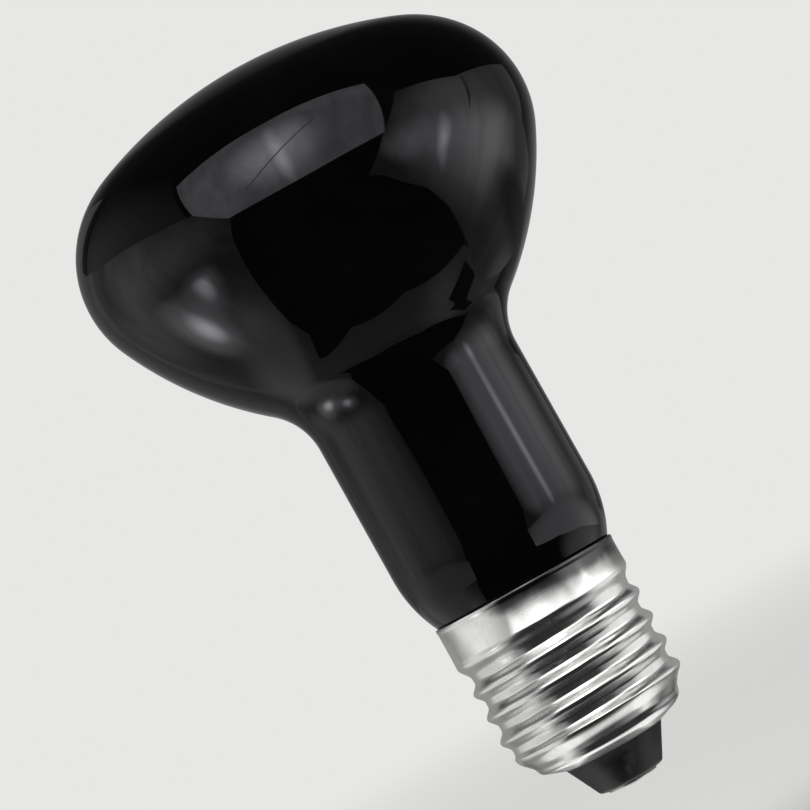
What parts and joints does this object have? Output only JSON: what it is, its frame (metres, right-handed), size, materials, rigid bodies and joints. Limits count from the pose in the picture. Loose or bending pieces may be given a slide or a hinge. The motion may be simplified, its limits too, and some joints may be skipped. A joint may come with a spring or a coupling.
{
  "type": "reptile night heat bulb",
  "caption": "Black glass reflector heat bulb with a shallow domed front, a straight neck and a threaded metal screw cap with an insulated end contact.",
  "frame": {"origin": "end of the contact, on the axis of the bulb", "axes": "+Z along the axis from the contact to the front of the glass; +X and +Y are square to it, and the thread's groove runs out at 40 degrees from +X"},
  "size_m": [0.0658, 0.0658, 0.1081],
  "materials": {
    "black_glass": "opaque, gloss",
    "cap_metal": "bright rolled sheet",
    "insulator_glass": "opaque, moulded",
    "contact_metal": "tinned",
    "solder": "dull, cast"
  },
  "bodies": {
    "root": {"glass_envelope": "black_glass", "screw_shell": "cap_metal", "base_insulator": "insulator_glass", "contact_plate": "contact_metal", "contact_solder": "solder"}
  },
  "joints": []
}
